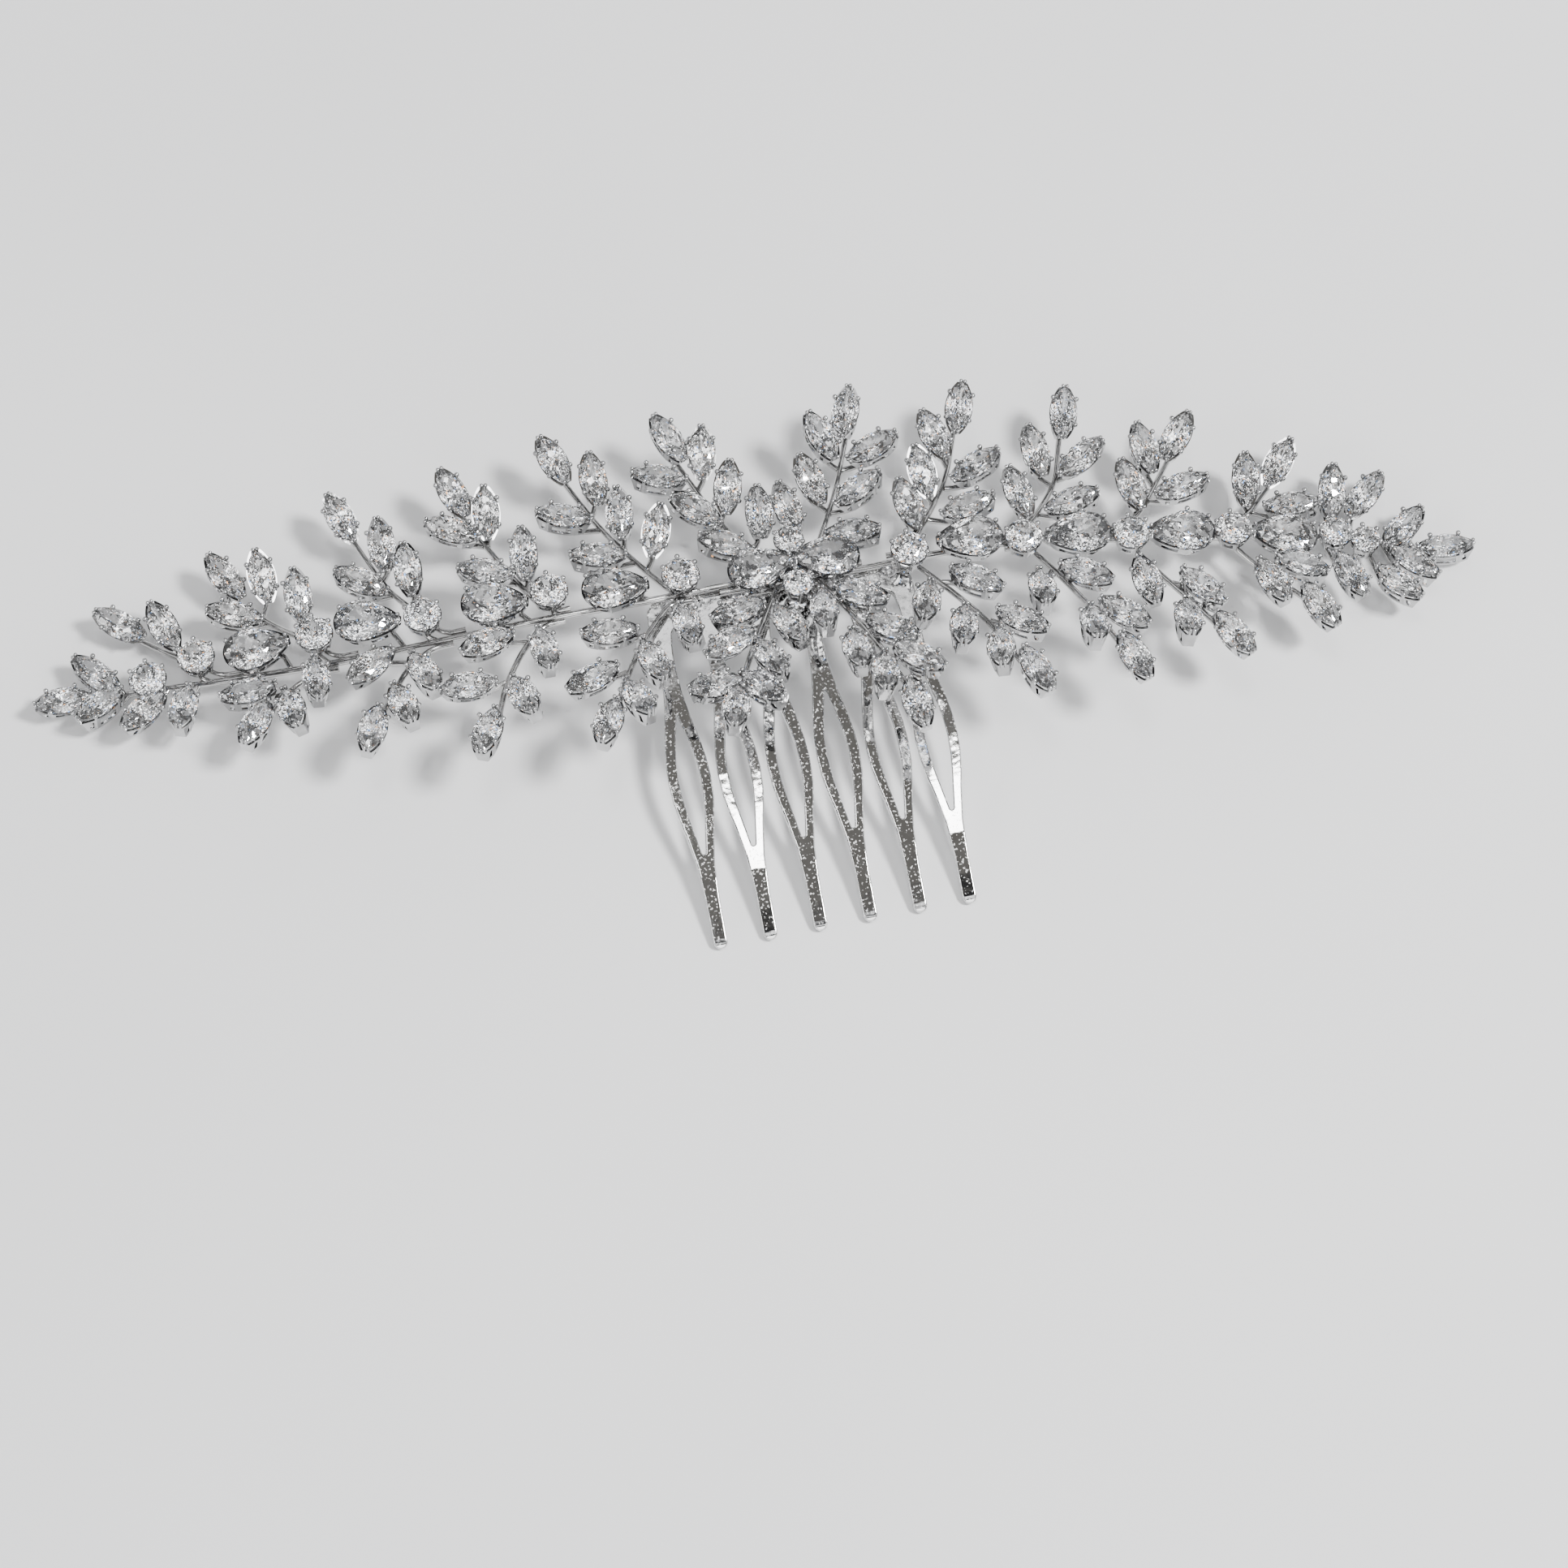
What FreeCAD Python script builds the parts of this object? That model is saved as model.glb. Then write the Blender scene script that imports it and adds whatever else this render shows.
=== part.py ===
import FreeCAD, Part
import math
import os

# A decorative hair comb: a flat six-tooth comb under a long bowed vine.
# The vine is two spine wires with sprays of leaves.  Every leaf is a faceted
# stone in its own claw setting, carried on a soldered wire stem.
#
# X runs along the vine, -Y towards the tooth tips, +Z up out of the stones.
# The layout is written about the middle of the comb's bar.  At the end the
# whole model is moved so that the origin is the middle of its footprint.
# All sizes are in millimetres and all angles in degrees.

Vector = FreeCAD.Vector

# Vine
SPINE_WIRE = 1.0
STEM_WIRE = 0.85
SPINE_CREST = 10.5              # height of the spine wire's centre above the table
SPINE_REST = SPINE_WIRE / 2     # height of its centre where the ends touch the table
LEFT_END = -98.5
RIGHT_END = 90.0
SPINE_BENDS = ((-98.5, 5.4), (-77.0, 2.4), (-60.0, 0.8), (-28.0, 0.5), (-9.0, -0.2),
               (12.0, -0.2), (39.0, 0.2), (62.0, -2.0), (90.0, -6.4))
SPINE_OVERLAP = 0.53            # sideways shift of each wire where the two run side by side
STEM_LIE = 3.0                  # length of stem that lies along the spine before it leaves
BRANCH_SETBACK = 1.5            # a branch leaves its stem this far before the leaf

# Stones
GIRDLE_HALF = 0.1               # half the thickness of a stone's girdle
TABLE_SCALE = 0.6
STAR_SCALE = 0.82
STAR_RISE = 0.61
CULET_SCALE = 0.25
CULET_DROP = 0.769
MARQUISE_LENGTH = 7.8
MARQUISE_WIDTH = 3.85
MARQUISE_CROWN = 0.7
MARQUISE_PAVILION = 1.75
PEAR_LENGTH = 9.0
PEAR_WIDTH = 6.2
PEAR_CROWN = 0.95
PEAR_PAVILION = 2.4
ROUND_CROWN = 0.8
ROUND_PAVILION = 2.1
ROUND_DIAMETER = 5.0
SMALL_ROUND_DIAMETER = 4.0

# Settings.  Heights are measured from the middle of the stone's girdle.
BASKET_TOP = -0.33
BASKET_BOTTOM = -2.9
BASKET_WALL = 0.35
WINDOW_TOP = -0.8
WINDOW_BOTTOM = -2.35
CLAW_RADIUS = 0.24
END_BEAD = 0.29
SIDE_BEAD = 0.37
BEAD_HEIGHT = 0.38
MARQUISE_FLAT = 1.45            # width of the flat plate at a pointed end
PEAR_FLAT = 1.2

# How the leaves stand: girdle height above the spine wire, slope away from
# the spine, and pitch that lifts the outer tip.
SPINE_STONE_RISE = 3.4
UPPER_LEAF_RISE = 3.2
UPPER_LEAF_SLOPE = -0.08
UPPER_LEAF_PITCH = 12.0
LOWER_LEAF_RISE = 3.2
LOWER_LEAF_SLOPE = 0.17
LOWER_LEFT_PITCH = 16.0         # left half: leaves that point towards the teeth
LOWER_LEFT_SIDE_PITCH = 6.0     # left half: leaves that point along the vine
LOWER_RIGHT_PITCH = 4.0         # right half: leaves at the tip and right side of a sprig
LOWER_RIGHT_TURNED_PITCH = 24.0 # right half: leaves turned back towards the comb
TIP_LEAF_RISE = 3.4
TIP_LEAF_PITCH = 3.0
TABLE_CLEARANCE = 0.1           # least gap between a leaf's wire and the table
HAND_ROLL = 8.0                 # most that a leaf is off true after it is bent by hand
HAND_PITCH = 4.0

# Comb
TOOTH_COUNT = 6
TOOTH_PITCH = 6.8
SHEET = 1.05
BAR_HALF_LENGTH = 18.3
BAR_BACK = 0.5
BAR_FRONT = -4.0
BAR_CORNER = 1.2
TOOTH_TIP = -48.6
ROOT_HALF = 1.6                 # half width where a tooth meets the bar
STEM_HALF = 1.1
LOOP_HALF = 2.95
TIP_HALF = 0.98
FORK_TOP = -16.6
FORK_BOTTOM = -36.2
EYE_HALF = 1.46
# side profile of the sheet's middle: (y, z) from the bar to the tooth tips
SHEET_BENDS = ((2.5, 9.2), (-9.0, 8.4), (-26.0, 6.05), (-39.5, 3.65), (-50.6, -0.2))
SOLDER_PLACES = (-15.0, -5.5, 7.5, 15.5)
SOLDER_RADIUS = 1.35
SOLDER_HEIGHT = 0.75
SOLDER_SHIFT = 0.6              # the beads sit this far from the spine's middle, over the bar

# Sprays, numbered outward from the comb.  Rounds are (x, y, diameter).  Pears
# and leaves are (x, y, heading): a pear's heading is that of its wide end, a
# leaf's is that of its outer tip.  A sprig is a stem that leaves the spine at
# "foot", bends at "via" and ends under its first leaf; the others sit on
# branches.  "spine_leaves" are soldered straight to the spine.
SPRAYS = {
    "centre_spray": {
        "rounds": ((2.5, -3.0, SMALL_ROUND_DIAMETER), (2.5, 4.0, SMALL_ROUND_DIAMETER)),
        "spine_leaves": ((5.0, -8.0, -95), (3.5, 9.5, 100)),
    },
    "left_spray_1": {
        "pears": ((-2.0, 0.5, -175),),
        "sprigs": (
            {"foot": -1.0, "via": ((-3.5, 6.0), (-6.5, 12.5)),
             "leaves": ((-10.5, 24.5, 115), (-6.5, 21.0, 80), (-13.0, 18.5, 165), (-9.0, 12.0, 145),
                        (-4.0, 14.5, 75), (-6.0, 5.5, 160), (-0.5, 9.5, 85))},
            {"foot": 0.0, "via": ((-3.0, -6.5), (-6.5, -13.0)),
             "leaves": ((-9.5, -21.5, -105), (-6.5, -6.0, -170), (-8.5, -11.0, -160), (-11.5, -17.5, -175),
                        (-5.5, -19.0, -50), (-3.5, -14.5, -70), (0.0, -9.5, -70))},
        ),
    },
    "left_spray_2": {
        "rounds": ((-13.0, 1.5, ROUND_DIAMETER),),
        "pears": ((-22.0, 1.5, 175),),
        "sprigs": (
            {"foot": -14.5, "via": ((-18.5, 7.0), (-22.5, 14.0)),
             "leaves": ((-27.0, 24.5, 110), (-22.0, 20.0, 90), (-19.5, 13.5, 85), (-27.0, 15.0, 165),
                        (-23.5, 7.5, 175), (-15.0, 9.5, 70))},
            {"foot": -15.0, "via": ((-19.5, -6.0), (-23.0, -12.0)),
             "leaves": ((-26.5, -20.0, -115), (-24.0, -5.5, 175), (-27.5, -12.5, -160), (-22.0, -17.0, -70),
                        (-19.0, -11.5, -75), (-13.5, -6.5, -85))},
        ),
    },
    "left_spray_3": {
        "rounds": ((-31.0, 3.0, ROUND_DIAMETER),),
        "pears": ((-38.5, 3.0, 170),),
        "sprigs": (
            {"foot": -31.5, "via": ((-34.5, 6.5), (-38.0, 14.0)),
             "leaves": ((-41.5, 22.5, 110), (-37.5, 18.0, 85), (-42.5, 16.5, 155), (-39.0, 8.5, 165),
                        (-33.5, 10.0, 85))},
            {"foot": -32.5, "via": ((-36.0, -4.0), (-39.0, -9.0)),
             "leaves": ((-42.5, -17.5, -115), (-40.5, -3.0, -165), (-44.0, -9.5, 180), (-37.0, -13.0, -75),
                        (-33.0, -6.0, -85))},
        ),
    },
    "left_spray_4": {
        "rounds": ((-48.5, 3.5, ROUND_DIAMETER),),
        "pears": ((-56.0, 4.5, 170),),
        "sprigs": (
            {"foot": -46.0, "via": ((-50.0, 7.0), (-53.0, 11.5)),
             "leaves": ((-57.5, 22.5, 110), (-52.5, 16.5, 90), (-49.5, 11.5, 90), (-56.0, 11.5, 150))},
            {"foot": -48.0, "via": ((-52.0, -3.0), (-54.5, -7.0)),
             "leaves": ((-57.5, -13.0, -110), (-56.5, -2.5, -145), (-49.5, -5.5, -70), (-53.0, -10.0, -75))},
        ),
    },
    "left_spray_5": {
        "rounds": ((-63.5, 4.5, ROUND_DIAMETER),),
        "pears": ((-71.5, 4.5, -175),),
        "sprigs": (
            {"foot": -61.0, "via": ((-65.5, 6.5), (-70.0, 10.5)),
             "leaves": ((-74.5, 17.5, 120), (-69.5, 16.0, 95), (-74.0, 11.0, 165), (-65.0, 11.5, 90))},
            {"foot": -64.0, "via": ((-68.5, -2.0),),
             "leaves": ((-73.0, -7.5, -120), (-73.5, -2.0, -175), (-68.0, -6.5, -80), (-64.0, -2.5, -90))},
        ),
    },
    "left_spray_6": {
        "rounds": ((-80.0, 5.5, ROUND_DIAMETER),),
        "sprigs": (
            {"foot": -77.0, "via": ((-82.0, 7.5),),
             "leaves": ((-90.0, 14.0, 145), (-84.0, 12.0, 110))},
        ),
    },
    "left_spray_7": {
        "rounds": ((-87.0, 4.0, ROUND_DIAMETER),),
        "spine_leaves": ((-94.0, 7.0, 135), (-94.0, 2.0, -145), (-88.0, -1.0, -140), (-82.5, -2.0, -105)),
        "tip_leaves": ((-99.0, 4.0, -175),),
    },
    "right_spray_1": {
        "pears": ((7.0, 0.5, -10),),
        "sprigs": (
            {"foot": 5.0, "via": ((7.5, 6.0), (11.0, 13.0)),
             "leaves": ((14.5, 24.0, 70), (10.5, 20.5, 110), (7.5, 13.5, 105), (17.0, 17.5, 15),
                        (13.5, 11.0, 25), (11.5, 4.0, -15))},
            {"foot": 5.5, "via": ((8.5, -7.0), (11.5, -14.0)),
             "leaves": ((14.0, -26.0, -85), (10.5, -6.5, -30), (13.5, -13.0, -35), (8.0, -15.5, -90),
                        (11.0, -20.0, -100), (16.0, -18.5, -40))},
        ),
    },
    "right_spray_2": {
        "rounds": ((18.5, -0.5, ROUND_DIAMETER),),
        "pears": ((27.0, 0.0, -5),),
        "sprigs": (
            {"foot": 18.5, "via": ((22.0, 5.5), (26.5, 12.0)),
             "leaves": ((30.5, 22.0, 70), (26.0, 18.0, 105), (23.0, 12.0, 95), (20.0, 7.0, 100),
                        (30.5, 12.0, 20), (28.0, 5.5, 5))},
            {"foot": 19.0, "via": ((22.5, -6.0), (27.0, -13.0)),
             "leaves": ((31.0, -23.5, -75), (19.0, -9.5, -110), (26.5, -7.0, -35), (23.0, -14.5, -105),
                        (27.0, -19.0, -100), (31.0, -15.0, -40))},
        ),
    },
    "right_spray_3": {
        "rounds": ((34.5, -1.0, ROUND_DIAMETER),),
        "pears": ((42.0, -1.5, -5),),
        "sprigs": (
            {"foot": 34.5, "via": ((38.0, 4.5), (41.5, 9.0)),
             "leaves": ((45.0, 19.0, 75), (39.5, 13.0, 95), (35.5, 6.5, 100), (45.5, 11.0, 25),
                        (42.5, 4.0, 5))},
            {"foot": 35.0, "via": ((38.0, -6.0), (41.5, -13.5)),
             "leaves": ((44.5, -23.5, -75), (35.0, -10.0, -95), (41.5, -8.5, -35), (40.5, -17.0, -95),
                        (45.0, -16.0, -45))},
        ),
    },
    "right_spray_4": {
        "rounds": ((49.5, -2.5, ROUND_DIAMETER),),
        "pears": ((56.5, -3.0, -10),),
        "sprigs": (
            {"foot": 49.5, "via": ((53.0, 3.5),),
             "leaves": ((60.0, 13.0, 50), (55.0, 11.5, 95), (51.5, 5.5, 100), (58.5, 4.5, 5))},
            {"foot": 49.0, "via": ((52.0, -8.0), (55.0, -13.0)),
             "leaves": ((59.0, -21.5, -65), (49.5, -11.0, -85), (57.0, -13.0, -55), (53.5, -18.0, -100))},
        ),
    },
    "right_spray_5": {
        "rounds": ((64.0, -3.5, ROUND_DIAMETER),),
        "pears": ((71.0, -5.0, -20),),
        "sprigs": (
            {"foot": 64.0, "via": ((67.5, 0.5),),
             "leaves": ((73.5, 7.0, 50), (68.0, 4.5, 80), (73.5, 0.0, -10))},
            {"foot": 63.0, "via": ((66.5, -9.0),),
             "leaves": ((72.5, -18.0, -70), (67.0, -13.0, -75), (72.0, -10.5, -35))},
        ),
    },
    "right_spray_6": {
        "rounds": ((78.5, -5.5, 4.5),),
        "spine_leaves": ((84.5, 0.5, 40), (80.0, 1.5, 75), (78.5, -13.0, -75)),
    },
    "right_spray_7": {
        "rounds": ((82.5, -7.0, SMALL_ROUND_DIAMETER),),
        "spine_leaves": ((88.5, -5.5, 35), (88.5, -11.5, -50), (85.0, -15.0, -55)),
        "tip_leaves": ((93.5, -9.5, -10),),
    },
}


# ---------------------------------------------------------------- wires

def rounded_path(points, fullness=0.45):
    """Straight runs through the points, joined by tangent arcs at every bend."""
    edges = []
    start = points[0]
    for before, corner, after in zip(points, points[1:], points[2:]):
        run_in = corner - before
        run_out = after - corner
        trim = fullness * min(run_in.Length, run_out.Length)
        way_in = run_in / run_in.Length
        way_out = run_out / run_out.Length
        half_turn = way_in.getAngle(way_out) / 2
        if half_turn < 0.004:
            continue
        arc_start = corner - way_in * trim
        arc_end = corner + way_out * trim
        inward = way_out - way_in
        inward.normalize()
        arc_middle = corner + inward * (trim * math.tan(half_turn / 2))
        edges.append(Part.LineSegment(start, arc_start).toShape())
        edges.append(Part.Arc(arc_start, arc_middle, arc_end).toShape())
        start = arc_end
    edges.append(Part.LineSegment(start, points[-1]).toShape())
    return Part.Wire(edges)


def round_wire(points, diameter):
    """A round wire whose middle follows the points."""
    path = rounded_path(points)
    end_face = Part.Wire([Part.Circle(points[0], points[1] - points[0], diameter / 2).toShape()])
    return path.makePipeShell([end_face], True, False)


def spine_side(x):
    """Y of the spine's middle at x."""
    for (x0, y0), (x1, y1) in zip(SPINE_BENDS, SPINE_BENDS[1:]):
        if x <= x1:
            break
    share = min(max((x - x0) / (x1 - x0), 0.0), 1.0)
    return y0 + (y1 - y0) * share


def spine_height(x):
    """Height of the spine's middle at x: bowed, so that both ends touch the table."""
    end = LEFT_END if x < 0 else RIGHT_END
    reach = min(x / end, 1.0)
    return SPINE_CREST - (SPINE_CREST - SPINE_REST) * reach ** 2


def spine_point(x):
    return Vector(x, spine_side(x), spine_height(x))


def spine_wire(places, side):
    """One spine wire through the places along X, moved aside where the two overlap."""
    points = []
    for x, shift in places:
        points.append(spine_point(x) + Vector(0, side * SPINE_OVERLAP * shift, 0))
    return round_wire(points, SPINE_WIRE)


def towards_comb(x):
    return -1 if x > 1 else 1


def back_from_nearest(route, target, setback):
    """The point on a route nearest the target, moved back towards the route's start."""
    best = None
    travelled = 0.0
    for start, end in zip(route, route[1:]):
        run = end - start
        share = min(max((target - start).dot(run) / run.dot(run), 0.0), 1.0)
        gap = (start + run * share - target).Length
        if best is None or gap < best[0]:
            best = (gap, travelled + run.Length * share)
        travelled += run.Length
    wanted = max(best[1] - setback, 0.0)
    travelled = 0.0
    for start, end in zip(route, route[1:]):
        length = (end - start).Length
        if travelled + length >= wanted:
            return start + (end - start) * ((wanted - travelled) / length)
        travelled += length
    return route[-1]


# --------------------------------------------------------------- stones

def lens_half_width(x, length, width):
    """Half width at x of a pointed oval made of two equal arcs."""
    arc = (length ** 2 + width ** 2) / (4 * width)
    return math.sqrt(max(arc ** 2 - x ** 2, 0.0)) - (arc - width / 2)


def marquise_point(turn):
    angle = 2 * math.pi * turn / 16
    x = MARQUISE_LENGTH / 2 * math.cos(angle)
    half_width = lens_half_width(x, MARQUISE_LENGTH, MARQUISE_WIDTH)
    return x, math.copysign(half_width, math.sin(angle)) if turn % 8 else 0.0


def pear_point(turn):
    """Round at +X, pointed at -X, in sixteen steps."""
    angle = 2 * math.pi * turn / 16
    radius = PEAR_WIDTH / 2
    middle = PEAR_LENGTH / 2 - radius
    x = PEAR_LENGTH / 2 * math.cos(angle)
    if x > middle:
        half_width = math.sqrt(max(radius ** 2 - (x - middle) ** 2, 0.0))
    else:
        half_width = radius * (1 - ((middle - x) / (middle + PEAR_LENGTH / 2)) ** 2)
    return x, math.copysign(half_width, math.sin(angle)) if turn % 8 else 0.0


def circle_point(turn, radius):
    angle = 2 * math.pi * turn / 16
    return radius * math.cos(angle), radius * math.sin(angle)


def facet(*corners):
    return Part.Face(Part.makePolygon(list(corners) + [corners[0]]))


def faceted_stone(outline, crown, pavilion):
    """A brilliant-cut stone: table, stars, kites, girdle and pavilion facets."""
    star_height = GIRDLE_HALF + STAR_RISE * (crown - GIRDLE_HALF)
    mains_height = -GIRDLE_HALF - CULET_DROP * (pavilion - GIRDLE_HALF)
    table = []
    stars = []
    mains = []
    upper = []
    lower = []
    for turn in range(16):
        x, y = outline(turn)
        upper.append(Vector(x, y, GIRDLE_HALF))
        lower.append(Vector(x, y, -GIRDLE_HALF))
        if turn % 2 == 0:
            table.append(Vector(x * TABLE_SCALE, y * TABLE_SCALE, crown))
        else:
            stars.append(Vector(x * STAR_SCALE, y * STAR_SCALE, star_height))
            mains.append(Vector(x * CULET_SCALE, y * CULET_SCALE, mains_height))
    culet = Vector(0, 0, -pavilion)
    faces = [facet(*table)]
    for k in range(8):
        corner = 2 * k
        middle = 2 * k + 1
        far = (2 * k + 2) % 16
        faces.append(facet(table[k], table[(k + 1) % 8], stars[k]))
        faces.append(facet(table[k], stars[k - 1], upper[corner]))
        faces.append(facet(table[k], upper[corner], stars[k]))
        faces.append(facet(culet, mains[k - 1], lower[corner]))
        faces.append(facet(culet, lower[corner], mains[k]))
        for near, next_one in ((corner, middle), (middle, far)):
            faces.append(facet(stars[k], upper[near], upper[next_one]))
            faces.append(facet(mains[k], lower[near], lower[next_one]))
            faces.append(facet(upper[near], upper[next_one], lower[next_one], lower[near]))
    stone = Part.Solid(Part.Shell(faces))
    if stone.Volume < 0:
        stone.reverse()
    return stone


# ------------------------------------------------------------- settings

def taper(bottom_size, top_size, height):
    """A size that grows evenly from the bottom to the top of a basket."""
    share = (height - BASKET_BOTTOM) / (BASKET_TOP - BASKET_BOTTOM)
    return bottom_size + (top_size - bottom_size) * share


def lens_wire(half_length, half_width, half_flat, height):
    """Pointed oval with a small flat at both ends."""
    right_up = Vector(half_length, half_flat, height)
    left_up = Vector(-half_length, half_flat, height)
    left_down = Vector(-half_length, -half_flat, height)
    right_down = Vector(half_length, -half_flat, height)
    return Part.Wire([
        Part.Arc(right_up, Vector(0, half_width, height), left_up).toShape(),
        Part.LineSegment(left_up, left_down).toShape(),
        Part.Arc(left_down, Vector(0, -half_width, height), right_down).toShape(),
        Part.LineSegment(right_down, right_up).toShape(),
    ])


def marquise_section(inset, height):
    return lens_wire(taper(3.05, 3.9, height) - inset, taper(1.35, 2.0, height) - inset,
                     MARQUISE_FLAT / 2 - inset / 2, height)


def pear_section(inset, height):
    """Round at +X, a small flat at -X."""
    radius = taper(2.4, 3.2, height) - inset
    middle = taper(1.1, 1.5, height)
    point = taper(-3.4, -4.6, height) + inset
    half_flat = PEAR_FLAT / 2 - inset / 2
    half_way = (middle + point) / 2
    wide_up = Vector(middle, radius, height)
    wide_down = Vector(middle, -radius, height)
    point_up = Vector(point, half_flat, height)
    point_down = Vector(point, -half_flat, height)
    belly = 0.76 * radius + 0.24 * half_flat
    return Part.Wire([
        Part.Arc(wide_down, Vector(middle + radius, 0, height), wide_up).toShape(),
        Part.Arc(wide_up, Vector(half_way, belly, height), point_up).toShape(),
        Part.LineSegment(point_up, point_down).toShape(),
        Part.Arc(point_down, Vector(half_way, -belly, height), wide_down).toShape(),
    ])


def round_section(bottom_radius, top_radius, inset, height):
    radius = taper(bottom_radius, top_radius, height) - inset
    return Part.Wire([Part.Circle(Vector(0, 0, height), Vector(0, 0, 1), radius).toShape()])


def open_basket(section):
    """A tapering wall between the section's outline and the same outline set in."""
    over = 0.2
    outside = Part.makeLoft([section(0, BASKET_BOTTOM), section(0, BASKET_TOP)], True, True)
    inside = Part.makeLoft([section(BASKET_WALL, BASKET_BOTTOM - over),
                            section(BASKET_WALL, BASKET_TOP + over)], True, True)
    return outside.cut(inside)


def window(x0, x1, y0, y1):
    return Part.makeBox(x1 - x0, y1 - y0, WINDOW_TOP - WINDOW_BOTTOM, Vector(x0, y0, WINDOW_BOTTOM))


def claw(foot, head, bead):
    """A round prong from foot to head with a rounded bead over the stone's edge."""
    way = head - foot
    prong = Part.makeCylinder(CLAW_RADIUS, way.Length, foot, way)
    return [prong, Part.makeSphere(bead, head)]


def marquise_setting():
    basket = open_basket(marquise_section)
    basket = basket.cut([window(-1.35, 1.35, -3, 3), window(2.3, 2.85, -3, 3), window(-2.85, -2.3, -3, 3)])
    claws = []
    for end in (-1, 1):
        for side in (-1, 1):
            claws += claw(Vector(3.6 * end, 0.3 * side, WINDOW_TOP),
                          Vector(3.84 * end, 0.28 * side, BEAD_HEIGHT), END_BEAD)
            claws += claw(Vector(1.8 * end, 0.98 * side, BASKET_BOTTOM + 0.1),
                          Vector(1.95 * end, 1.66 * side, BEAD_HEIGHT), SIDE_BEAD)
    return basket.multiFuse(claws).removeSplitter()


def pear_setting():
    basket = open_basket(pear_section)
    basket = basket.cut([window(-2.7, -0.5, -4, 4), window(1.3, 2.5, -4, 4), window(2.0, 5.0, -0.75, 0.75)])
    claws = []
    for side in (-1, 1):
        claws += claw(Vector(-4.1, 0.6 * side, WINDOW_TOP),
                      Vector(-4.15, 0.62 * side, BEAD_HEIGHT), END_BEAD)
        claws += claw(Vector(0.8, 2.3 * side, BASKET_BOTTOM + 0.1),
                      Vector(1.0, 3.12 * side, BEAD_HEIGHT + 0.05), SIDE_BEAD)
        claws += claw(Vector(2.95, 1.35 * side, BASKET_BOTTOM + 0.1),
                      Vector(3.9, 1.9 * side, BEAD_HEIGHT + 0.05), SIDE_BEAD)
    return basket.multiFuse(claws).removeSplitter()


def round_setting(diameter):
    top_radius = diameter / 2 + 0.12
    bottom_radius = 0.76 * diameter / 2

    def section(inset, height):
        return round_section(bottom_radius, top_radius, inset, height)

    basket = open_basket(section)
    half_window = 0.26 * diameter / 2
    claws = []
    for turn in range(3):
        slot = window(-diameter, diameter, -half_window, half_window)
        slot.rotate(Vector(0, 0, 0), Vector(0, 0, 1), 30 + 60 * turn)
        basket = basket.cut(slot)
    for turn in range(6):
        outward = Vector(math.cos(math.radians(60 * turn)), math.sin(math.radians(60 * turn)), 0)
        foot = outward * bottom_radius + Vector(0, 0, BASKET_BOTTOM + 0.1)
        head = outward * (diameter / 2 + 0.04) + Vector(0, 0, BEAD_HEIGHT + 0.05)
        claws += claw(foot, head, SIDE_BEAD)
    return basket.multiFuse(claws).removeSplitter()


# --------------------------------------------------------------- sprays

class Spray:
    """The stones, settings and wires of one spray, as lists of solids."""

    def __init__(self):
        self.stones = []
        self.settings = []
        self.stems = []


class Holder:
    """One set stone: where it stands and where its wire runs underneath."""

    def __init__(self, x, y, heading, girdle_height, inner_reach, pitch=0.0, roll=0.0):
        turn = FreeCAD.Rotation(Vector(0, 0, 1), heading)
        lift = FreeCAD.Rotation(Vector(0, 1, 0), -pitch)
        lean = FreeCAD.Rotation(Vector(1, 0, 0), roll)
        self.placement = FreeCAD.Placement(Vector(x, y, girdle_height), turn.multiply(lift).multiply(lean))
        under = BASKET_BOTTOM - STEM_WIRE / 2
        self.wire_in = self.placement.multVec(Vector(-inner_reach, 0, under))
        self.wire_end = self.placement.multVec(Vector(-0.2 * inner_reach, 0, under))

    def put(self, shape):
        placed = shape.copy()
        placed.Placement = self.placement
        return placed


def least_girdle_height(pitch, inner_reach):
    """The height at which a pitched leaf's wire just clears the table."""
    angle = math.radians(pitch)
    depth = (STEM_WIRE - BASKET_BOTTOM) * math.cos(angle) + inner_reach * math.sin(angle)
    return depth + TABLE_CLEARANCE


def lower_leaf_pitch(x, heading):
    if x > 1:
        return LOWER_RIGHT_TURNED_PITCH if heading < -88 else LOWER_RIGHT_PITCH
    return LOWER_LEFT_PITCH if -130 < heading < -45 else LOWER_LEFT_SIDE_PITCH


def leaf_holder(leaf, at_tip=False):
    x, y, heading = leaf
    inner_reach = 3.0
    offset = y - spine_side(x)
    if at_tip:
        height = spine_height(x) + TIP_LEAF_RISE
        pitch = TIP_LEAF_PITCH
    elif offset > 0:
        height = spine_height(x) + UPPER_LEAF_RISE + UPPER_LEAF_SLOPE * offset
        pitch = UPPER_LEAF_PITCH
    else:
        height = spine_height(x) + LOWER_LEAF_RISE - LOWER_LEAF_SLOPE * offset
        pitch = lower_leaf_pitch(x, heading)
    pitch += HAND_PITCH * math.sin(2.9 * x + 1.3 * y)
    roll = HAND_ROLL * math.sin(1.7 * x + 2.3 * y)
    height = max(height, least_girdle_height(pitch, inner_reach))
    return Holder(x, y, heading, height, inner_reach, pitch, roll)


def spine_stone_holder(x, y, heading, inner_reach):
    return Holder(x, y, heading, spine_height(x) + SPINE_STONE_RISE, inner_reach)


def spine_route(x):
    """The spine near x, as a route that starts on the side of the comb."""
    inward = towards_comb(x)
    return [spine_point(x + 12 * inward), spine_point(x + 6 * inward), spine_point(x), spine_point(x - 6 * inward)]


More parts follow.
